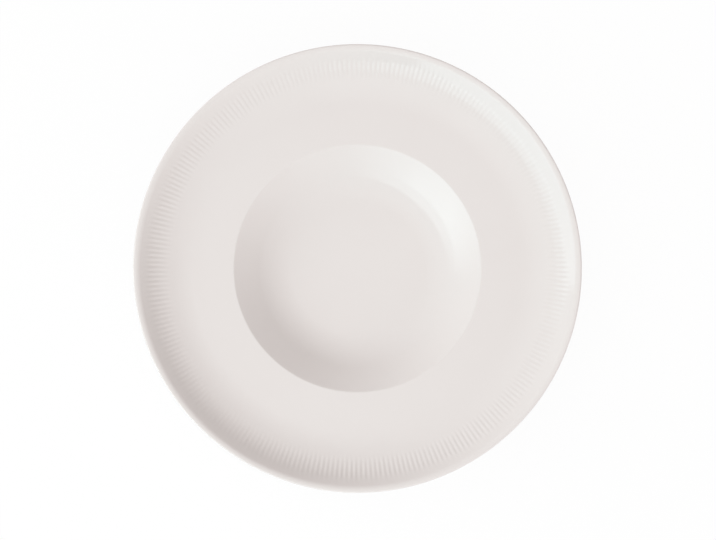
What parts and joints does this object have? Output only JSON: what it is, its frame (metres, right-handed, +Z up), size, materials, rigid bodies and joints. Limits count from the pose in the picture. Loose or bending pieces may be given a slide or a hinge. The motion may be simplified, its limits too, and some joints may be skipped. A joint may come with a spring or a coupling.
{
  "type": "deep plate",
  "caption": "White porcelain deep plate with a round well, a wide flat flange and an upturned rim with fine radial flutes, for serving soup, pasta or stews.",
  "frame": {"origin": "middle of the foot ring's bearing plane, on the plate's axis", "axes": "+Z up along the plate's axis, out of the well; +X and +Y in the plane that it stands on"},
  "size_m": [0.25, 0.25, 0.0351],
  "materials": {
    "porcelain": "bare fired porcelain, matt and slightly grainy",
    "glaze": "gloss white glaze, faintly warm"
  },
  "bodies": {
    "root": {"porcelain_body": "porcelain", "outer_glaze": "glaze", "foot_recess_glaze": "glaze"}
  },
  "joints": []
}
